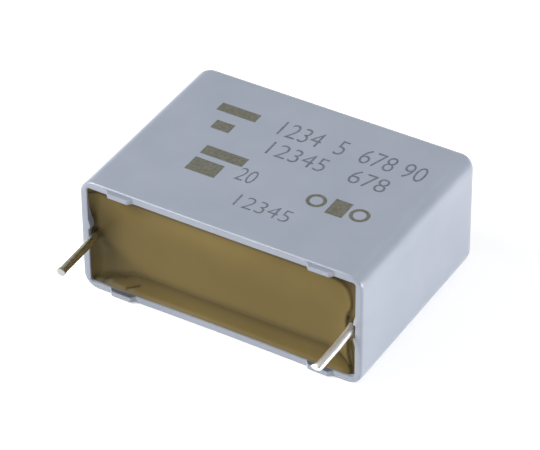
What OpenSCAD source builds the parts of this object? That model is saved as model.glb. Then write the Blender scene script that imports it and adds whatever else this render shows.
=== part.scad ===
// Box film capacitor with two wire leads, for through-hole boards.
//
// A flat-wound roll of metallised film has zinc sprayed on its two ends, and a wire welded to each.
// The roll lies in a moulded plastic case, which is filled with potting resin from its open side.
// The leads come out of the resin, and four standoffs on the rim keep the case off the board.
//
// Every piece is drawn as it stands on a board: board plane at z = 0, case above it, leads below it.
// laid_flat() then turns it onto its large side: leads towards -Y, length along X, thickness along Z.
// The origin is midway between the two leads, in the board plane. All sizes are in millimetres.

/* [Leads] */
// Distance between the two leads' centres
lead_pitch = 27.5; // [15:0.5:37.5]
// Diameter of the lead wire
lead_diameter = 0.8; // [0.5:0.05:1.2]
// Length of each lead below the board plane
lead_reach = 5.9; // [3:0.1:25]
// Length over which each lead is welded to its end contact
weld_length = 9; // [3:0.5:11]
// Thickness to which the wire is rolled flat inside the case
rolled_thickness = 0.6; // [0.5:0.02:0.7]
// Width of the rolled wire
rolled_width = 0.9; // [0.8:0.02:1]
// Radius of the rolled wire's edges
rolled_edge = 0.2; // [0.05:0.01:0.22]
// Chamfer round each lead's cut tip
tip_chamfer = 0.12; // [0.02:0.02:0.2]

/* [Case] */
// Thickness of the case, across the row of leads
case_thickness = 12.7; // [8:0.1:20]
// Depth of the case, from its open rim to its closed back
case_depth = 22.6; // [16:0.1:36]
// Thickness of the four side walls
wall = 0.8; // [0.5:0.05:1.2]
// Thickness of the closed back
back_wall = 0.9; // [0.5:0.05:1.5]
// Radius of the case's four long corners and of the edges round its back
corner_radius = 1.6; // [1.3:0.1:2.2]
// Radius of the corners and edges inside the case
inner_radius = 0.3; // [0.1:0.05:0.7]
// Radius of the rim's outer edge
rim_radius = 0.25; // [0.05:0.05:0.45]

/* [Standoffs] */
// Height of the standoffs above the rim
standoff_height = 0.4; // [0.2:0.05:1.5]
// Length of each standoff along its wall, at its foot
standoff_length = 2.9; // [1.5:0.1:5]
// Distance from each end of the case to the middle of the standoffs there
standoff_inset = 4.45; // [3:0.05:6]
// Step between a standoff and the case's outer face
standoff_setback = 0.2; // [0.05:0.05:0.4]
// How far each end of a standoff slopes in between its foot and its tip
standoff_slope = 0.4; // [0.05:0.05:0.5]

/* [Lead guides] */
// Gap between each lead and the end wall beside it
end_gap = 0.3; // [0.1:0.05:1]
// Slot between the two ribs that stand in from the end wall beside each lead
guide_slot = 1.5; // [1.2:0.05:2.5]
// Width of each rib at its foot
guide_width = 1; // [0.4:0.05:1.5]
// How far the ribs stand in
guide_depth = 0.2; // [0.05:0.05:0.5]

/* [Potting] */
// Level of the resin below the rim
potting_recess = 0.75; // [0.65:0.05:2]
// How far the resin climbs at the walls
meniscus_rise = 0.6; // [0.1:0.05:0.7]
// How far from the walls the resin starts to climb
meniscus_width = 1.2; // [0.7:0.1:2.5]
// Size of the ring of resin that climbs each lead
collar_size = 0.45; // [0.1:0.05:0.6]
// Resin between the roll and the open side
potting_cover = 1.4; // [0.8:0.1:4]
// Resin between the roll and the case's large sides
side_cover = 0.45; // [0.2:0.05:1.5]
// Resin between the roll and the closed back
back_cover = 0.5; // [0.2:0.05:2]

/* [Roll] */
// Thickness of the zinc sprayed on each end of the roll
spray_thickness = 0.6; // [0.3:0.05:1]

/* [Hidden] */
$fn = 64;
left = -1;
right = 1;

// Overshoot of a cut past the face that it opens
through = 1;

lead_x = lead_pitch / 2;
lead_radius = lead_diameter / 2;

// The case reaches past each lead by its end gap and its end wall
case_length = lead_pitch + 2 * (lead_radius + end_gap + wall);
rim_z = standoff_height;
cavity_length = case_length - 2 * wall;
cavity_thickness = case_thickness - 2 * wall;
floor_z = rim_z + case_depth - back_wall;

resin_z = rim_z + potting_recess;
// Radius of the arc that rises by meniscus_rise over meniscus_width
meniscus_radius = (pow(meniscus_width, 2) + pow(meniscus_rise, 2)) / (2 * meniscus_rise);

// The roll's ends lie where their zinc meets the flats of the rolled wires
weld_face_x = lead_x - rolled_thickness / 2;
roll_end_x = weld_face_x - spray_thickness;
roll_bottom = resin_z + potting_cover;
roll_height = floor_z - back_cover - roll_bottom;
roll_thickness = cavity_thickness - 2 * side_cover;

// Turns a piece that stands on its leads onto its large side
module laid_flat() {
    rotate([-90, 0, 0])
        children();
}

// Puts a shape that is drawn for the right end at either end
module at_end(side) {
    mirror([side == left ? 1 : 0, 0, 0])
        children();
}

// Stands a section up, its own y along Z, and gives it a length along X
module along_x(length) {
    rotate([90, 0, 90])
        linear_extrude(length, center = true)
            children();
}

// Stands a section up, its own y along Z, and gives it a length along Y
module along_y(length) {
    rotate([90, 0, 0])
        linear_extrude(length, center = true)
            children();
}

// Section of a block's side, outwards from the corner's centre line: round at its back and rim
module side_section(radius, depth, rim) {
    square([radius - rim, depth - radius]);
    translate([0, rim])
        square([radius, depth - radius - rim]);
    if (rim > 0)
        translate([radius - rim, rim])
            circle(rim);
    intersection() {
        translate([0, depth - radius])
            circle(radius);
        translate([0, depth - radius])
            square(radius);
    }
}

// Block whose long corners and back edges share one radius, with its rim at z = 0.
// One section runs straight along the sides and is turned round the corners.
module rounded_block(length, thickness, depth, radius, rim = 0) {
    straight_x = length - 2 * radius;
    straight_y = thickness - 2 * radius;
    translate([-straight_x / 2, -straight_y / 2, 0])
        cube([straight_x, straight_y, depth]);
    for (turn = [0, 180])
        rotate([0, 0, turn]) {
            translate([straight_x / 2, 0, 0])
                along_y(straight_y)
                    side_section(radius, depth, rim);
            translate([0, straight_y / 2, 0])
                along_x(straight_x)
                    side_section(radius, depth, rim);
            translate([straight_x / 2, straight_y / 2, 0])
                rotate_extrude(angle = 90)
                    side_section(radius, depth, rim);
            translate([-straight_x / 2, straight_y / 2, 0])
                rotate([0, 0, 90])
                    rotate_extrude(angle = 90)
                        side_section(radius, depth, rim);
        }
}

// Two ribs that stand in from an end wall, one on each side of its lead, as deep as the case.
// Their sides along the slot are straight, and their other sides slope back to the wall.
module lead_guide() {
    inner = guide_slot / 2;
    crest = inner + guide_width / 3;
    outer = inner + guide_width;
    translate([cavity_length / 2, 0, 0])
        linear_extrude(floor_z + through)
            for (side = [0, 1])
                mirror([0, side])
                    polygon([[through, inner], [-guide_depth, inner], [-guide_depth, crest],
                             [0, outer], [through, outer]]);
}

// Inside of the case, opened past its rim
module cavity() {
    difference() {
        translate([0, 0, rim_z - through])
            rounded_block(cavity_length, cavity_thickness, floor_z - rim_z + through,
                          inner_radius);
        for (side = [left, right])
            at_end(side)
                translate([0, 0, rim_z])
                    lead_guide();
    }
}

// Standoff on a long wall: flush with the wall's inner face, its two ends sloped
module standoff() {
    foot = standoff_length / 2;
    crest = foot - standoff_slope;
    width = wall - standoff_setback;
    translate([case_length / 2 - standoff_inset, cavity_thickness / 2 + width / 2, 0])
        along_y(width)
            polygon([[-foot, rim_z], [-crest, 0], [crest, 0], [foot, rim_z]]);
}

module case() {
    color([0.66, 0.70, 0.77])
        laid_flat() {
            difference() {
                translate([0, 0, rim_z])
                    rounded_block(case_length, case_thickness, case_depth, corner_radius,
                                  rim_radius);
                cavity();
            }
            for (side = [left, right], turn = [0, 180])
                rotate([0, 0, turn])
                    at_end(side)
                        standoff();
        }
}

// Air between two facing walls, down to the resin, which climbs both walls in an arc
module air_section(width) {
    flat = width - 2 * meniscus_width;
    above = rim_z - 2 * through;
    translate([-width / 2, above])
        square([width, resin_z - meniscus_rise - above]);
    translate([-flat / 2, above])
        square([flat, resin_z - above]);
    for (side = [left, right])
        translate([side * flat / 2, resin_z - meniscus_radius])
            circle(meniscus_radius);
}

// Ring of resin that climbs a lead
module lead_collar() {
    translate([lead_x, 0, resin_z - collar_size])
        rotate_extrude()
            difference() {
                square([lead_radius + collar_size, collar_size]);
                translate([lead_radius + collar_size, 0])
                    circle(collar_size);
            }
}

// Air over the resin: what both pairs of walls leave, less the collars round the leads
module air_over_resin() {
    difference() {
        intersection() {
            along_x(case_length)
                air_section(cavity_thickness);
            along_y(case_thickness)
                air_section(cavity_length);
        }
        for (side = [left, right])
            at_end(side)
                lead_collar();
    }
}

module potting_resin() {
    color([0.53, 0.46, 0.28])
        laid_flat()
            difference() {
                cavity();
                air_over_resin();
                roll(weld_face_x);
                for (side = [left, right])
                    at_end(side)
                        lead_wire();
            }
}

// Flat-wound roll, round at its two narrow sides, as far as end_x both ways
module roll(end_x) {
    straight = roll_height - roll_thickness;
    translate([0, 0, roll_bottom + roll_height / 2])
        along_x(2 * end_x) {
            square([roll_thickness, straight], center = true);
            for (side = [-1, 1])
                translate([0, side * straight / 2])
                    circle(roll_thickness / 2);
        }
}

module film_winding() {
    color([0.80, 0.78, 0.72])
        laid_flat()
            roll(roll_end_x);
}

// Zinc sprayed on one end of the roll
module end_spray(side) {
    color([0.62, 0.63, 0.64])
        laid_flat()
            at_end(side)
                intersection() {
                    roll(weld_face_x);
                    translate([roll_end_x, -case_thickness / 2, 0])
                        cube([spray_thickness, case_thickness, floor_z]);
                }
}

module end_spray_left() { end_spray(left); }
module end_spray_right() { end_spray(right); }

// Section of the rolled wire, with rounded edges
module rolled_section() {
    x = rolled_thickness - 2 * rolled_edge;
    y = rolled_width - 2 * rolled_edge;
    square([rolled_thickness, y], center = true);
    square([x, rolled_width], center = true);
    for (sx = [-1, 1], sy = [-1, 1])
        translate([sx * x / 2, sy * y / 2])
            circle(rolled_edge);
}

// Wire with a chamfered tip: round outside the case, rolled flat inside it to lie on the zinc
module lead_wire() {
    tip_z = -lead_reach;
    end_z = roll_bottom + weld_length;
    translate([lead_x, 0, 0]) {
        translate([0, 0, tip_z])
            cylinder(tip_chamfer, lead_radius - tip_chamfer, lead_radius);
        translate([0, 0, tip_z + tip_chamfer])
            cylinder(rim_z - tip_z - tip_chamfer, r = lead_radius);
        translate([0, 0, rim_z])
            linear_extrude(end_z - rim_z)
                rolled_section();
    }
}

module lead(side) {
    color([0.75, 0.75, 0.73])
        laid_flat()
            at_end(side)
                lead_wire();
}

module lead_left() { lead(left); }
module lead_right() { lead(right); }

case();
potting_resin();
film_winding();
end_spray_left();
end_spray_right();
lead_left();
lead_right();
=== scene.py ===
import bmesh
import bpy
import math
from mathutils import Matrix, Vector


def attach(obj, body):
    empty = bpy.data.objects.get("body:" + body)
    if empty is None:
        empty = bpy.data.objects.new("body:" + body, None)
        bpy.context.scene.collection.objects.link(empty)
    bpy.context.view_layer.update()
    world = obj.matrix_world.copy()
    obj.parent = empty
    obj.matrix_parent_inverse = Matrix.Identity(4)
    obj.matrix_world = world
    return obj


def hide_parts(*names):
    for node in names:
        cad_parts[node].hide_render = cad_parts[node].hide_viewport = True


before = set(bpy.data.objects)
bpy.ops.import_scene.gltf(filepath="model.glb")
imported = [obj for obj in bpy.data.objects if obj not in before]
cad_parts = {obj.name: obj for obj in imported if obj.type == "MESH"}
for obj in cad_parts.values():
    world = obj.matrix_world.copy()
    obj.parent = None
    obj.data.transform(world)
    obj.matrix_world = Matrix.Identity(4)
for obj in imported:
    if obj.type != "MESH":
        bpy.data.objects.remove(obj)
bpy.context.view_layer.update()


# ---- Camera ----
# It stands to the right of the part, in front of it and above, as over a small part on a table.
# The lens is long, so that the box keeps its edges nearly parallel.
camera_right = Vector((0.86174, 0.50733, -0.00415))
camera_up = Vector((-0.30614, 0.52650, 0.79314))
camera_back = Vector((0.40457, -0.68221, 0.60902))

camera_data = bpy.data.cameras.new("camera")
camera_data.sensor_width = 36
camera_data.lens = 216.96
camera_data.clip_start = 0.01
camera_data.clip_end = 10
camera = bpy.data.objects.new("camera", camera_data)
camera.matrix_world = Matrix((camera_right, camera_up, camera_back)).transposed().to_4x4()
camera.location = (0.124904, -0.200884, 0.188557)
bpy.context.scene.collection.objects.link(camera)
bpy.context.scene.camera = camera


# ---- Table and light ----
# A white table under a grey sky that is brightest high on the left, and two broad lamps: one high
# on the left, one low on the right. The table looks white to the eye and in reflections, and keeps
# the soft shadow.
table_height = -0.00635
table_half = 1
table_white = 0.9
table_lift = 0.55
sky_low = 0.18
sky_high = 0.46
sky_brightest = (-0.62, 0.28, 0.73)
sky_rises_from = 0.20
sky_rises_to = 0.55
lamp_distance = 0.6
lamps = (("high_left_lamp", (-0.62, -0.48, 0.62), 0.32, 3.7),
         ("low_right_lamp", (0.97, 0.22, 0.02), 0.30, 5.8))

scene = bpy.context.scene
scene.view_settings.view_transform = "Standard"

floor_mesh = bmesh.new()
bmesh.ops.create_grid(floor_mesh, x_segments=1, y_segments=1, size=2 * table_half)
bmesh.ops.translate(floor_mesh, verts=floor_mesh.verts, vec=(0, 0, table_height))
floor_data = bpy.data.meshes.new("floor")
floor_mesh.to_mesh(floor_data)
floor_mesh.free()
floor = bpy.data.objects.new("floor", floor_data)
scene.collection.objects.link(floor)

white = bpy.data.materials.new("white_table")
white.use_nodes = True
nodes = white.node_tree.nodes
links = white.node_tree.links
nodes.clear()
matt = nodes.new("ShaderNodeBsdfDiffuse")
matt.inputs["Color"].default_value = (table_white, table_white, table_white, 1)
light_path = nodes.new("ShaderNodeLightPath")
seen = nodes.new("ShaderNodeMath")
seen.operation = "MAXIMUM"
links.new(light_path.outputs["Is Camera Ray"], seen.inputs[0])
links.new(light_path.outputs["Is Glossy Ray"], seen.inputs[1])
seen_at_all = nodes.new("ShaderNodeMath")
seen_at_all.operation = "MAXIMUM"
links.new(seen.outputs[0], seen_at_all.inputs[0])
links.new(light_path.outputs["Is Transmission Ray"], seen_at_all.inputs[1])
lift = nodes.new("ShaderNodeMath")
lift.operation = "MULTIPLY"
lift.inputs[1].default_value = table_lift
links.new(seen_at_all.outputs[0], lift.inputs[0])
glow = nodes.new("ShaderNodeEmission")
links.new(lift.outputs[0], glow.inputs["Strength"])
both = nodes.new("ShaderNodeAddShader")
links.new(matt.outputs[0], both.inputs[0])
links.new(glow.outputs[0], both.inputs[1])
table_output = nodes.new("ShaderNodeOutputMaterial")
links.new(both.outputs[0], table_output.inputs["Surface"])
floor_data.materials.append(white)

sky = bpy.data.worlds.new("pale_sky")
sky.use_nodes = True
scene.world = sky
nodes = sky.node_tree.nodes
links = sky.node_tree.links
background = nodes["Background"]
direction = nodes.new("ShaderNodeTexCoord")
nearness = nodes.new("ShaderNodeVectorMath")
nearness.operation = "DOT_PRODUCT"
nearness.inputs[1].default_value = sky_brightest
links.new(direction.outputs["Generated"], nearness.inputs[0])
shade = nodes.new("ShaderNodeValToRGB")
shade.color_ramp.interpolation = "EASE"
shade.color_ramp.elements[0].position = sky_rises_from
shade.color_ramp.elements[0].color = (sky_low, sky_low, sky_low, 1)
shade.color_ramp.elements[1].position = sky_rises_to
shade.color_ramp.elements[1].color = (sky_high, sky_high, sky_high, 1)
links.new(nearness.outputs["Value"], shade.inputs["Fac"])
links.new(shade.outputs["Color"], background.inputs["Color"])

for name, place, size, power in lamps:
    towards = Vector(place).normalized()
    lamp_data = bpy.data.lights.new(name, "AREA")
    lamp_data.size = size
    lamp_data.energy = power
    lamp = bpy.data.objects.new(name, lamp_data)
    lamp.location = towards * lamp_distance
    lamp.rotation_mode = "QUATERNION"
    lamp.rotation_quaternion = towards.to_track_quat("Z", "Y")
    scene.collection.objects.link(lamp)


# ---- Case ----
# Injection-moulded box of pale blue-grey polyester, open towards -Y, with a rounded rim.
# Four standoffs on the rim keep it off the board, and their upward sides are painted with shade,
# darkest on the lower two. Two small ribs in each end wall flank a lead. The long walls have sunk a
# little in the middle, towards the rim.
case_length = 30.5
case_thickness = 12.7
wall = 0.8
back_wall = 0.9
rim = 0.4
back = 23.0
case_radius = 1.6
case_segments = 10
inner_radius = 0.3
rim_radius = 0.25
rim_segments = 4
inner_edge = 0.12
standoff_middles = (-10.8, 10.8)
standoff_half = 1.45
standoff_slope = 0.4
standoff_outer = 6.15
standoff_edge = 0.06
rib_start = 0.72
rib_slot = 0.75
rib_crest = 1.08
rib_foot = 1.75
rib_depth = 0.2
lower_sink = 0.12
upper_sink = 0.05
sink_half = 13.6
sink_fade = 1.5
long_wall_from = 5.3
cuts_along = (-13, -8, -6, -4, -2, 0, 2, 4, 6, 8, 13)
cuts_inward = (1.5, 3.5, 6, 9, 13)
# Painted shade on the standoffs' upward sides: its share on the upper and lower two, and its grey.
upper_painted_shade = 0.2
lower_painted_shade = 1
painted_shade_grey = (0.115, 0.125, 0.145)
crease_angle = 0.6
noise_low = 0.3
noise_high = 0.7
hair = 0.01


def extruded(mesh, faces):
    """Draws faces out of a closed mesh and returns what has grown, still in place."""
    grown = bmesh.ops.extrude_face_region(mesh, geom=faces)["geom"]
    bmesh.ops.delete(mesh, geom=faces, context="FACES_ONLY")
    bare = [edge for edge in mesh.edges if edge.is_wire]
    bmesh.ops.delete(mesh, geom=bare, context="EDGES")
    mesh.normal_update()
    return grown


def verts_of(items):
    """The vertices in a list of mixed mesh items."""
    return [item for item in items if isinstance(item, bmesh.types.BMVert)]


def rim_loop(mesh, sign):
    """The rim's outer edges for sign 1, and its inner ones for sign -1."""
    loop = []
    for edge in mesh.edges:
        fronts = [face for face in edge.link_faces if face.normal.y < -0.9]
        walls = [face for face in edge.link_faces if abs(face.normal.y) < 0.1]
        if len(fronts) == 1 and len(walls) == 1 and edge.verts[0].co.y < rim + hair:
            outwards = (edge.verts[0].co + edge.verts[1].co) / 2
            outwards.y = 0
            if sign * outwards.dot(walls[0].normal) > 0:
                loop.append(edge)
    return loop


def rounded(mesh, edges, radius, segments):
    """Rounds edges."""
    bmesh.ops.bevel(mesh, geom=edges, offset=radius, offset_type="OFFSET", affect="EDGES",
                    segments=segments, profile=0.5, material=-1)


def cut(mesh, axis, at):
    """Cuts every face where the given axis has this value."""
    normal = Vector((0, 0, 0))
    normal[axis] = 1
    bmesh.ops.bisect_plane(mesh, geom=mesh.verts[:] + mesh.edges[:] + mesh.faces[:],
                           dist=1e-5, plane_co=normal * at, plane_no=normal)


def sink_share(x, y):
    """Share of the full sink of a long wall at x and y: all of it mid-rim, none at the back."""
    along = max(0, 1 - (x / sink_half) ** 2)
    inward = max(0, 1 - (y - rim) / (back - rim))
    return along * along * inward ** sink_fade


def sunk(place):
    """Where a point of the long walls has come to lie."""
    share = sink_share(place.x, place.y)
    if place.z < -long_wall_from:
        return Vector((place.x, place.y, place.z + lower_sink * share))
    if place.z > long_wall_from:
        return Vector((place.x, place.y, place.z - upper_sink * share))
    return place


def finished_piece(name, mesh, finish):
    """Turns a mesh drawn in millimetres into a piece in metres, with its material and its place."""
    bmesh.ops.recalc_face_normals(mesh, faces=mesh.faces)
    for face in mesh.faces:
        face.smooth = True
    for edge in mesh.edges:
        edge.smooth = edge.calc_face_angle(0) < crease_angle
    bmesh.ops.scale(mesh, verts=mesh.verts, vec=(0.001, 0.001, 0.001))
    data = bpy.data.meshes.new(name)
    mesh.to_mesh(data)
    mesh.free()
    piece = bpy.data.objects.new(name, data)
    scene.collection.objects.link(piece)
    data.materials.append(finish)
    even = piece.modifiers.new("even_shading", "WEIGHTED_NORMAL")
    even.keep_sharp = True
    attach(piece, "root")
    return piece


def new_finish(name, colour, roughness):
    """A material whose nodes are ready to be given their detail, and its shader."""
    finish = bpy.data.materials.new(name)
    finish.use_nodes = True
    shader = finish.node_tree.nodes["Principled BSDF"]
    shader.inputs["Base Color"].default_value = (*colour, 1)
    shader.inputs["Roughness"].default_value = roughness
    return finish, shader


def grain(finish, size, detail=2.0):
    """Noise with lumps of this size in millimetres, fixed to the piece."""
    tree = finish.node_tree
    place = tree.nodes.new("ShaderNodeTexCoord")
    lumps = tree.nodes.new("ShaderNodeTexNoise")
    lumps.inputs["Scale"].default_value = 1000 / size
    lumps.inputs["Detail"].default_value = detail
    tree.links.new(place.outputs["Object"], lumps.inputs["Vector"])
    return lumps


def spread(finish, lumps, low, high, socket):
    """Spreads noise between two values on a socket."""
    tree = finish.node_tree
    span = tree.nodes.new("ShaderNodeMapRange")
    span.inputs["From Min"].default_value = noise_low
    span.inputs["From Max"].default_value = noise_high
    span.inputs["To Min"].default_value = low
    span.inputs["To Max"].default_value = high
    tree.links.new(lumps.outputs["Fac"], span.inputs["Value"])
    tree.links.new(span.outputs["Result"], socket)


def mottle(finish, lumps, dark, pale, socket):
    """Blends two close colours by noise."""
    tree = finish.node_tree
    ramp = tree.nodes.new("ShaderNodeValToRGB")
    ramp.color_ramp.elements[0].position = noise_low
    ramp.color_ramp.elements[0].color = (*dark, 1)
    ramp.color_ramp.elements[1].position = noise_high
    ramp.color_ramp.elements[1].color = (*pale, 1)
    tree.links.new(lumps.outputs["Fac"], ramp.inputs["Fac"])
    tree.links.new(ramp.outputs["Color"], socket)
    return ramp.outputs["Color"]


def written(finish, name):
    """The number that the mesh carries under this name."""
    note = finish.node_tree.nodes.new("ShaderNodeAttribute")
    note.attribute_name = name
    return note.outputs["Fac"]


def covered(finish, share, plain, cover, socket):
    """Lets a second colour cover the first one by a share."""
    tree = finish.node_tree
    blend = tree.nodes.new("ShaderNodeMix")
    blend.data_type = "RGBA"
    blend.inputs["B"].default_value = (*cover, 1)
    tree.links.new(share, blend.inputs["Factor"])
    tree.links.new(plain, blend.inputs["A"])
    tree.links.new(blend.outputs["Result"], socket)


def roughen(finish, lumps, height, shader):
    """Lets noise stand up from the surface by this height in millimetres."""
    tree = finish.node_tree
    bump = tree.nodes.new("ShaderNodeBump")
    bump.inputs["Distance"].default_value = height * 0.001
    tree.links.new(lumps.outputs["Fac"], bump.inputs["Height"])
    tree.links.new(bump.outputs["Normal"], shader.inputs["Normal"])


case_mesh = bmesh.new()
bmesh.ops.create_cube(case_mesh, size=1)
bmesh.ops.scale(case_mesh, verts=case_mesh.verts, vec=(case_length, back - rim, case_thickness))
bmesh.ops.translate(case_mesh, verts=case_mesh.verts, vec=(0, (rim + back) / 2, 0))
front = min(case_mesh.faces, key=lambda face: face.calc_center_median().y)
bmesh.ops.inset_region(case_mesh, faces=[front], thickness=wall, use_even_offset=True)
case_mesh.normal_update()
front = max((face for face in case_mesh.faces if face.calc_center_median().y < rim + hair),
            key=lambda face: face.calc_area())
floor_verts = verts_of(extruded(case_mesh, [front]))
for vert in floor_verts:
    vert.co.y = back - back_wall
outer_edges = []
inner_edges = []
for edge in case_mesh.edges:
    if max(vert.co.y for vert in edge.verts) > rim + hair:
        outside = all(abs(vert.co.x) > case_length / 2 - hair for vert in edge.verts)
        (outer_edges if outside else inner_edges).append(edge)
rounded(case_mesh, outer_edges, case_radius, case_segments)
rounded(case_mesh, [edge for edge in inner_edges if edge.is_valid], inner_radius, rim_segments)
case_mesh.normal_update()
rounded(case_mesh, rim_loop(case_mesh, 1), rim_radius, rim_segments)
case_mesh.normal_update()
rounded(case_mesh, rim_loop(case_mesh, -1), inner_edge, 2)

for middle in standoff_middles:
    for half in (-standoff_half, standoff_half):
        cut(case_mesh, 0, middle + half)
for x in cuts_along:
    cut(case_mesh, 0, x)
for y in cuts_inward:
    cut(case_mesh, 1, y)
for side in (-1, 1):
    cut(case_mesh, 2, side * standoff_outer)
    for z in (rib_start, rib_slot, rib_crest, rib_foot):
        cut(case_mesh, 2, side * z)

inner_end = case_length / 2 - wall
for vert in case_mesh.verts:
    along = abs(vert.co.x)
    across = abs(vert.co.z)
    if inner_end - hair < along < inner_end + inner_edge + hair:
        if rib_slot - hair < across < rib_crest + hair:
            vert.co.x -= math.copysign(rib_depth, vert.co.x)

for middle in standoff_middles:
    for side in (-1, 1):
        foot = [face for face in case_mesh.faces
                if abs(face.calc_center_median().x - middle) < standoff_half
                and long_wall_from < side * face.calc_center_median().z < standoff_outer
                and face.calc_center_median().y < rim + inner_edge]
        grown = extruded(case_mesh, foot)
        for vert in verts_of(grown):
            vert.co.y = 0
            if abs(vert.co.x - middle) > standoff_half - hair:
                vert.co.x -= math.copysign(standoff_slope, vert.co.x - middle)
        tip_faces = [face for face in grown if isinstance(face, bmesh.types.BMFace)]
        tip_edges = [edge for edge in case_mesh.edges
                     if sum(face in tip_faces for face in edge.link_faces) == 1]
        rounded(case_mesh, tip_edges, standoff_edge, 2)
for vert in case_mesh.verts:
    vert.co = sunk(vert.co)

# Painted shade: the upward sides of the standoffs are marked to take the dark grey.
painted_shade_layer = case_mesh.faces.layers.float.new("painted_shade")
case_mesh.normal_update()
for face in case_mesh.faces:
    if face.normal.z > 0.8 and face.calc_center_median().y < rim - standoff_edge:
        face[painted_shade_layer] = lower_painted_shade if face.calc_center_median().z < 0 else upper_painted_shade

case_plastic, shader = new_finish("case_plastic", (0.33, 0.365, 0.44), 0.30)
shader.inputs["IOR"].default_value = 1.7
clean = mottle(case_plastic, grain(case_plastic, 5, 3), (0.315, 0.350, 0.425),
               (0.345, 0.380, 0.455), shader.inputs["Base Color"])
# The painted shade's dark grey covers the plastic's colour on the standoffs' upward sides.
covered(case_plastic, written(case_plastic, "painted_shade"), clean, painted_shade_grey,
        shader.inputs["Base Color"])
spread(case_plastic, grain(case_plastic, 4, 2), 0.28, 0.33, shader.inputs["Roughness"])
roughen(case_plastic, grain(case_plastic, 0.12, 2), 0.0008, shader)
case_piece = finished_piece("moulded_case", case_mesh, case_plastic)
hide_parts("case")


# ---- Potting resin ----
# Filled olive epoxy, poured in from the open side and cured. It climbs the walls and the leads.
# It has shrunk a little, which left a soft trough and creases before the lower wall, and a flat
# that ends in a crisp edge before the right wall. Its colour carries painted shade in the trough
# and creases, past the flat's edge, round the leads, towards the left and under the upper wall, and
# painted light near the upper wall, by the lower wall and along the flat's edge.
resin_level = 1.15
resin_step = 0.1
tucked_in = 0.05
cavity_x = 14.45
cavity_z = 5.55
climb_width = 1.1
climb_upper = 0.45
climb_lower = 0.62
climb_left = 0.62
climb_right = 0.55
lead_x = 13.75
lead_radius = 0.4
collar = 0.3
collar_width = 0.22
dip_depth = 0.55
dip_x = -14.5
dip_width_x = 0.7
dip_z = 1.4
dip_width_z = 1.5
crown = 0.10
trough_line = ((-14.6, -5.9), (-13.2, -5.1), (-11.9, -4.4), (-10.8, -4.0), (-9.7, -3.5),
               (-7, -3.45), (11.2, -3.45), (12.6, -4.1), (13.3, -4.8), (14.2, -5.9))
trough_width = 0.45
trough_depth = 0.1
flat_edge = ((11.0, 4.85), (11.7, 4.75), (12.6, 4.5), (13.2, 4.0), (13.55, 3.3), (13.68, 2.4),
             (13.6, 1.75), (13.25, 1.05), (13.14, 0.3), (13.2, -0.6), (13.3, -2.2), (13.3, -3.6),
             (13.6, -5.0), (14.0, -5.7))
flat_edge_from = 10.4
flat_step = 0.25
flat_softness = 0.04
creases = (((-13.2, -5.45), (-12.4, -4.85), (-11.6, -4.45), (-10.8, -4.25)),
           ((-10.6, -5.3), (-9.9, -5.0), (-9.3, -4.65)),
           ((13.35, 0.7), (13.3, 0), (13.38, -0.6)),
           ((13.6, -2.2), (13.75, -3.4), (13.95, -4.6)),
           ((12.4, -3.9), (13.3, -4.75), (14.1, -5.6)))
crease_width = 0.1
crease_depth = 0.05
crease_reach = 0.5
under_rim = 4.85
everywhere = math.inf
# Painted shade towards the left, under the upper wall and by the left wall; painted light near the
# upper wall.
painted_patches = ((-0.16, -14.2, 5, 0, everywhere), (-0.32, -12.9, 1.5, -1.5, 4.2),
           (-0.14, -12.4, 2.2, -3.2, 1.6), (-0.13, -12.8, 1.9, 2.2, 2), (0.10, 2, 9, 3.2, 2.6),
           (0.26, -4, 8, 4.3, 1.6), (-0.6, 0, everywhere, under_rim, 0.13),
           (-0.4, -cavity_x, 0.35, 2.2, 1.5))
# Painted shade in and below the trough, past the flat's edge, in creases and round the leads;
# painted light by the lower wall and the flat's edge.
trough_shade = 0.30
trough_shade_width = 0.6
below_trough_shade = 0.17
lower_glow = 0.12
lower_glow_gap = 0.1
lower_glow_width = 0.55
past_flat_shade = 0.36
flat_edge_glow = 0.12
flat_edge_glow_width = 0.9
crease_shade = 0.5
collar_shade = 0.4
collar_shade_width = 0.65
darkest = 0.3


def along_line(points, x, z):
    """How far (x, z) is from a line of points, and on which side: above zero on its left."""
    nearest = None
    for (x1, z1), (x2, z2) in zip(points, points[1:]):
        length = (x2 - x1) ** 2 + (z2 - z1) ** 2
        share = min(1, max(0, ((x - x1) * (x2 - x1) + (z - z1) * (z2 - z1)) / length))
        away = math.hypot(x - x1 - share * (x2 - x1), z - z1 - share * (z2 - z1))
        if nearest is None or away < nearest:
            nearest = away
            turn = (x2 - x1) * (z - z1) - (z2 - z1) * (x - x1)
    return nearest, turn


def bell(distance, width):
    """1 at no distance, falling smoothly to nothing past this width."""
    return math.exp(-(distance / width) ** 2)


def climb(distance, rise, width=climb_width):
    """How far the resin stands above its level at this distance from a wall, along an arc."""
    if distance >= width:
        return 0
    arc = (width * width + rise * rise) / (2 * rise)
    return arc - math.sqrt(arc * arc - (width - max(0, distance)) ** 2)


def beyond_flat(x, z):
    """0 on the flat, 1 past its crisp edge at the right."""
    if x < flat_edge_from:
        return 0
    away, turn = along_line(flat_edge, x, z)
    signed = away if turn > 0 else -away
    return 1 / (1 + math.exp(-signed / flat_softness))


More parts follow.
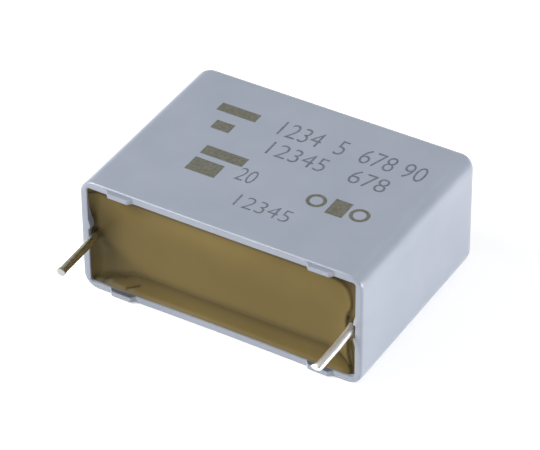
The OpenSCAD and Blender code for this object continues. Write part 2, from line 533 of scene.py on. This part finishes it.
def resin_surface(x, z):
    """The y of the resin's face at x and z."""
    share = sink_share(x, rim)
    from_upper = cavity_z - upper_sink * share - z
    from_lower = cavity_z - lower_sink * share + z
    raised = max(climb(from_upper, climb_upper), climb(from_lower, climb_lower),
                 climb(cavity_x + x, climb_left), climb(cavity_x - x, climb_right))
    for side in (-1, 1):
        away = math.hypot(x - side * lead_x, z) - lead_radius
        raised = max(raised, collar * math.exp(-max(0, away) / collar_width))
    dip = dip_depth * bell(x - dip_x, dip_width_x) * bell(z - dip_z, dip_width_z)
    swell = crown * (1 - (x / cavity_x) ** 2) * (1 - (z / cavity_z) ** 2)
    sunken = trough_depth * bell(along_line(trough_line, x, z)[0], trough_width)
    sunken += flat_step * beyond_flat(x, z)
    for crease in creases:
        first = min(point[0] for point in crease) - crease_reach
        last = max(point[0] for point in crease) + crease_reach
        if first < x < last:
            sunken += crease_depth * bell(along_line(crease, x, z)[0], crease_width)
    return resin_level - max(0, raised - dip) - swell + sunken


def painted_resin_light(x, z):
    """The resin's painted light and shade at x and z: 1 plain, less for shade, more for light."""
    painted_light = 1
    for amount, at_x, width_x, at_z, width_z in painted_patches:
        painted_light += amount * bell(x - at_x, width_x) * bell(z - at_z, width_z)
    away, turn = along_line(trough_line, x, z)
    painted_light -= trough_shade * bell(away, trough_shade_width)
    if turn < 0:
        painted_light -= below_trough_shade
        painted_light += lower_glow * bell(cavity_z + z - lower_glow_gap, lower_glow_width)
    past = beyond_flat(x, z)
    painted_light -= past_flat_shade * past
    if x > flat_edge_from:
        away = along_line(flat_edge, x, z)[0]
        painted_light += flat_edge_glow * (1 - past) * bell(away, flat_edge_glow_width)
    for crease in creases:
        painted_light -= crease_shade * bell(along_line(crease, x, z)[0], crease_width)
    for side in (-1, 1):
        painted_light -= collar_shade * bell(math.hypot(x - side * lead_x, z), collar_shade_width)
    return max(darkest, painted_light)


resin_mesh = bmesh.new()
painted_light_layer = resin_mesh.verts.layers.float.new("painted_light")
across = round(2 * cavity_x / resin_step)
down = round(2 * cavity_z / resin_step)
bmesh.ops.create_grid(resin_mesh, x_segments=across, y_segments=down, size=0.5)
bmesh.ops.scale(resin_mesh, verts=resin_mesh.verts,
                vec=(2 * (cavity_x + tucked_in), 2 * (cavity_z + tucked_in), 1))
bmesh.ops.rotate(resin_mesh, verts=resin_mesh.verts, cent=(0, 0, 0),
                 matrix=Matrix.Rotation(math.radians(90), 3, "X"))
edge_loop = [edge for edge in resin_mesh.edges if edge.is_boundary]
for vert in resin_mesh.verts:
    vert[painted_light_layer] = painted_resin_light(vert.co.x, vert.co.z)
    vert.co.y = resin_surface(vert.co.x, vert.co.z)
side_walls = bmesh.ops.extrude_edge_only(resin_mesh, edges=edge_loop)["geom"]
for vert in verts_of(side_walls):
    vert.co.y = back - back_wall
bmesh.ops.holes_fill(resin_mesh, edges=[edge for edge in resin_mesh.edges if edge.is_boundary])

potting, shader = new_finish("potting_epoxy", (0.177, 0.129, 0.044), 0.34)
shader.inputs["IOR"].default_value = 1.4
shader.inputs["Specular IOR Level"].default_value = 0.14
clouds = mottle(potting, grain(potting, 9, 2), (0.166, 0.121, 0.041), (0.189, 0.138, 0.047),
                shader.inputs["Base Color"])
links = potting.node_tree.links
# The resin's colour is scaled by the painted light and shade that the mesh carries.
shaded = potting.node_tree.nodes.new("ShaderNodeVectorMath")
shaded.operation = "SCALE"
links.new(clouds, shaded.inputs[0])
links.new(written(potting, "painted_light"), shaded.inputs["Scale"])
links.new(shaded.outputs[0], shader.inputs["Base Color"])
spread(potting, grain(potting, 2.5, 3), 0.28, 0.38, shader.inputs["Roughness"])
roughen(potting, grain(potting, 1.6, 1), 0.01, shader)
resin_piece = finished_piece("potted_resin", resin_mesh, potting)
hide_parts("potting_resin")


# ---- Leads ----
# Tinned copper wire, 0.8 mm thick, cut off with nippers, which spread and bent the ends a little.
# Inside the case each is rolled flat and welded to the zinc on the end of the roll. The left wire's
# colour is painted dark and olive, as painted shade and a painted reflection of the resin.
rolled_from = 2.4
rolled_to = 11.55
rolled_half_x = 0.30
rolled_half_z = 0.45
wire_sides = 28
cut_from = -5.6
cut_to = -5.8
fresh_metal = (0.44, 0.43, 0.41)


def lead_wire(name, rings, finish):
    """A wire through rings of (y, x, z, half width on X, half width on Z), closed at its ends."""
    mesh = bmesh.new()
    ring = bmesh.ops.create_circle(mesh, segments=wire_sides, radius=1)["verts"]
    bmesh.ops.rotate(mesh, verts=ring, cent=(0, 0, 0),
                     matrix=Matrix.Rotation(math.radians(90), 3, "X"))
    loop = list(mesh.edges)
    centre = Vector((0, 0, 0))
    size = Vector((1, 1, 1))
    for number, (y, x, z, half_x, half_z) in enumerate(rings):
        if number:
            grown = bmesh.ops.extrude_edge_only(mesh, edges=loop)["geom"]
            ring = verts_of(grown)
            loop = [item for item in grown if isinstance(item, bmesh.types.BMEdge)
                    and all(vert in ring for vert in item.verts)]
        bmesh.ops.scale(mesh, verts=ring, vec=(half_x / size.x, 1, half_z / size.z),
                        space=Matrix.Translation(-centre))
        bmesh.ops.translate(mesh, verts=ring, vec=Vector((x, y, z)) - centre)
        centre = Vector((x, y, z))
        size = Vector((half_x, 1, half_z))
    bmesh.ops.holes_fill(mesh, edges=[edge for edge in mesh.edges if edge.is_boundary])
    return finished_piece(name, mesh, finish)


def cut_share(finish):
    """0 along the wire, 1 on its freshly cut tip."""
    tree = finish.node_tree
    place = tree.nodes.new("ShaderNodeTexCoord")
    parts = tree.nodes.new("ShaderNodeSeparateXYZ")
    tree.links.new(place.outputs["Object"], parts.inputs[0])
    span = tree.nodes.new("ShaderNodeMapRange")
    span.inputs["From Min"].default_value = cut_from * 0.001
    span.inputs["From Max"].default_value = cut_to * 0.001
    tree.links.new(parts.outputs["Y"], span.inputs["Value"])
    return span.outputs["Result"]


# Painted shade and painted reflection: the left wire's tin, painted dark and olive.
shaded_tin, shader = new_finish("tinned_wire_painted_dark", (0.33, 0.31, 0.24), 0.28)
shader.inputs["Metallic"].default_value = 1
shaded_tin_colour = mottle(shaded_tin, grain(shaded_tin, 0.5, 3), (0.46, 0.445, 0.34), (0.64, 0.62, 0.51),
              shader.inputs["Base Color"])
covered(shaded_tin, cut_share(shaded_tin), shaded_tin_colour, fresh_metal, shader.inputs["Base Color"])
spread(shaded_tin, grain(shaded_tin, 0.6, 2), 0.22, 0.32, shader.inputs["Roughness"])
roughen(shaded_tin, grain(shaded_tin, 0.2, 2), 0.002, shader)

bright_tin, shader = new_finish("bright_tinned_wire", (0.90, 0.89, 0.87), 0.38)
shader.inputs["Metallic"].default_value = 0.85
mottle(bright_tin, grain(bright_tin, 0.5, 3), (0.86, 0.85, 0.83), (0.92, 0.91, 0.89),
       shader.inputs["Base Color"])
spread(bright_tin, grain(bright_tin, 0.6, 2), 0.34, 0.42, shader.inputs["Roughness"])
roughen(bright_tin, grain(bright_tin, 0.2, 2), 0.002, shader)

left_rings = [(-5.88, -13.48, 0.10, 0.38, 0.37), (-5.85, -13.48, 0.10, 0.44, 0.42),
              (-5.70, -13.49, 0.10, 0.47, 0.44), (-5.45, -13.50, 0.09, 0.41, 0.40),
              (-5.2, -13.52, 0.08, lead_radius, lead_radius),
              (-2, -13.65, 0, lead_radius, lead_radius),
              (rim, -lead_x, 0, lead_radius, lead_radius),
              (1.6, -lead_x, 0, lead_radius, lead_radius),
              (rolled_from, -lead_x, 0, rolled_half_x, rolled_half_z),
              (rolled_to, -lead_x, 0, rolled_half_x, rolled_half_z)]
left_lead = lead_wire("left_wire", left_rings, shaded_tin)
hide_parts("lead_left")

right_rings = [(-5.70, 13.84, -0.12, 0.44, 0.20), (-5.64, 13.85, -0.12, 0.53, 0.28),
               (-5.46, 13.90, -0.12, 0.50, 0.35), (-5.20, 13.99, -0.13, 0.41, 0.40),
               (-2, 13.95, -0.2, lead_radius, lead_radius),
               (rim, 13.85, -0.2, lead_radius, lead_radius),
               (1.6, lead_x, 0, lead_radius, lead_radius),
               (rolled_from, lead_x, 0, rolled_half_x, rolled_half_z),
               (rolled_to, lead_x, 0, rolled_half_x, rolled_half_z)]
right_lead = lead_wire("right_wire", right_rings, bright_tin)
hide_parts("lead_right")


# ---- Roll and its zinc ends ----
# Flat-wound metallised polyester film: hundreds of turns whose edges show as fine nested lines.
# Flame-sprayed zinc joins the edges at each end, and a lead is welded to it. All of it is sealed
# in the resin.
roll_middle_y = 12.075
roll_straight_half = 4.425


def turn_lines(finish, spacing, dark, pale, shader):
    """Nested lines that follow the turns round the flat roll."""
    tree = finish.node_tree
    place = tree.nodes.new("ShaderNodeTexCoord")
    parts = tree.nodes.new("ShaderNodeSeparateXYZ")
    tree.links.new(place.outputs["Object"], parts.inputs[0])
    steps = (("SUBTRACT", roll_middle_y * 0.001), ("ABSOLUTE", 0),
             ("SUBTRACT", roll_straight_half * 0.001), ("MAXIMUM", 0), ("POWER", 2))
    value = parts.outputs["Y"]
    for operation, number in steps:
        step = tree.nodes.new("ShaderNodeMath")
        step.operation = operation
        step.inputs[1].default_value = number
        tree.links.new(value, step.inputs[0])
        value = step.outputs[0]
    square = tree.nodes.new("ShaderNodeMath")
    square.operation = "MULTIPLY"
    tree.links.new(parts.outputs["Z"], square.inputs[0])
    tree.links.new(parts.outputs["Z"], square.inputs[1])
    total = tree.nodes.new("ShaderNodeMath")
    tree.links.new(value, total.inputs[0])
    tree.links.new(square.outputs[0], total.inputs[1])
    reach = tree.nodes.new("ShaderNodeMath")
    reach.operation = "SQRT"
    tree.links.new(total.outputs[0], reach.inputs[0])
    turns = tree.nodes.new("ShaderNodeMath")
    turns.operation = "MULTIPLY"
    turns.inputs[1].default_value = 2000 * math.pi / spacing
    tree.links.new(reach.outputs[0], turns.inputs[0])
    wave = tree.nodes.new("ShaderNodeMath")
    wave.operation = "SINE"
    tree.links.new(turns.outputs[0], wave.inputs[0])
    ramp = tree.nodes.new("ShaderNodeValToRGB")
    ramp.color_ramp.elements[0].color = (*dark, 1)
    ramp.color_ramp.elements[1].color = (*pale, 1)
    tree.links.new(wave.outputs[0], ramp.inputs["Fac"])
    tree.links.new(ramp.outputs["Color"], shader.inputs["Base Color"])


film, shader = new_finish("metallised_film", (0.72, 0.70, 0.66), 0.25)
shader.inputs["Metallic"].default_value = 0.6
turn_lines(film, 0.12, (0.50, 0.48, 0.44), (0.80, 0.79, 0.76), shader)
spread(film, grain(film, 2, 2), 0.2, 0.32, shader.inputs["Roughness"])
zinc, shader = new_finish("sprayed_zinc", (0.42, 0.43, 0.45), 0.7)
shader.inputs["Metallic"].default_value = 0.7
mottle(zinc, grain(zinc, 0.15, 4), (0.30, 0.31, 0.33), (0.55, 0.56, 0.58),
       shader.inputs["Base Color"])
spread(zinc, grain(zinc, 0.4, 3), 0.6, 0.85, shader.inputs["Roughness"])
roughen(zinc, grain(zinc, 0.1, 4), 0.05, shader)
for node, finish in (("film_winding", film), ("end_spray_left", zinc), ("end_spray_right", zinc)):
    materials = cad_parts[node].data.materials
    materials.clear()
    materials.append(finish)


# ---- Printed marking ----
# Thin marking on the large face, made by a laser that darkens the plastic's skin: rows of plain
# numbers in grey, and a few plain blocks and rings in olive.
ink_height = 0.012
ink_depth = 0.03
face_height = case_thickness / 2


def laid_on_case(mesh):
    """Gives flat marks their thickness and lays them on the case's large face."""
    grown = bmesh.ops.extrude_face_region(mesh, geom=mesh.faces[:])["geom"]
    upper = set(verts_of(grown))
    for vert in mesh.verts:
        surface = sunk(Vector((vert.co.x, vert.co.y, face_height))).z
        vert.co.z = surface + (ink_height if vert in upper else -ink_depth)


def number_row(mesh, numbers, left, right, low, high, thin):
    """Adds a row of numbers that fills this rectangle of the large face."""
    row = bpy.data.curves.new("numbers", "FONT")
    row.body = numbers
    row.offset = -thin
    holder = bpy.data.objects.new("numbers", row)
    scene.collection.objects.link(holder)
    bpy.context.view_layer.update()
    flat = bpy.data.meshes.new_from_object(
        holder.evaluated_get(bpy.context.evaluated_depsgraph_get()))
    lows = [min(vert.co[axis] for vert in flat.vertices) for axis in (0, 1)]
    highs = [max(vert.co[axis] for vert in flat.vertices) for axis in (0, 1)]
    for vert in flat.vertices:
        vert.co = (left + (vert.co.x - lows[0]) / (highs[0] - lows[0]) * (right - left),
                   low + (vert.co.y - lows[1]) / (highs[1] - lows[1]) * (high - low), 0)
    mesh.from_mesh(flat)
    bpy.data.objects.remove(holder)
    bpy.data.curves.remove(row)
    bpy.data.meshes.remove(flat)


def block(mesh, left, right, low, high):
    """Adds a plain rectangle."""
    made = bmesh.ops.create_grid(mesh, x_segments=1, y_segments=1, size=0.5)["verts"]
    bmesh.ops.scale(mesh, verts=made, vec=(right - left, high - low, 1))
    bmesh.ops.translate(mesh, verts=made, vec=((left + right) / 2, (low + high) / 2, 0))


def ring(mesh, x, y, outer, inner):
    """Adds a plain flat ring."""
    edges = []
    for radius in (outer, inner):
        made = bmesh.ops.create_circle(mesh, segments=32, radius=radius)["verts"]
        bmesh.ops.translate(mesh, verts=made, vec=(x, y, 0))
        edges += [edge for edge in mesh.edges if edge.verts[0] in made and edge.verts[1] in made]
    bmesh.ops.bridge_loops(mesh, edges=edges)


numbers_mesh = bmesh.new()
number_row(numbers_mesh, "1234  5  678 90", -2.9, 12.7, 15.8, 18.1, 0.012)
number_row(numbers_mesh, "12345   678", -2.3, 10.4, 12.6, 14.7, 0.012)
number_row(numbers_mesh, "20", -2.8, -0.9, 7.7, 9.7, 0.012)
number_row(numbers_mesh, "12345", -0.8, 4.9, 4.2, 6.0, 0.014)
laid_on_case(numbers_mesh)
grey_print, shader = new_finish("grey_print", (0.13, 0.145, 0.175), 0.6)
mottle(grey_print, grain(grey_print, 0.25, 3), (0.10, 0.11, 0.135), (0.18, 0.20, 0.24),
       shader.inputs["Base Color"])
finished_piece("printed_numbers", numbers_mesh, grey_print)

marks_mesh = bmesh.new()
block(marks_mesh, -9.9, -5.6, 16.4, 17.7)
block(marks_mesh, -8.9, -6.9, 13.6, 15.0)
block(marks_mesh, -7.6, -3.0, 9.6, 11.0)
block(marks_mesh, -7.6, -4.4, 6.8, 8.9)
ring(marks_mesh, 5.7, 8.6, 1.0, 0.65)
block(marks_mesh, 7.2, 9.0, 7.4, 9.8)
ring(marks_mesh, 10.3, 8.6, 1.0, 0.65)
laid_on_case(marks_mesh)
olive_print, shader = new_finish("olive_print", (0.13, 0.13, 0.10), 0.6)
mottle(olive_print, grain(olive_print, 0.25, 3), (0.105, 0.105, 0.08), (0.17, 0.17, 0.14),
       shader.inputs["Base Color"])
finished_piece("printed_marks", marks_mesh, olive_print)
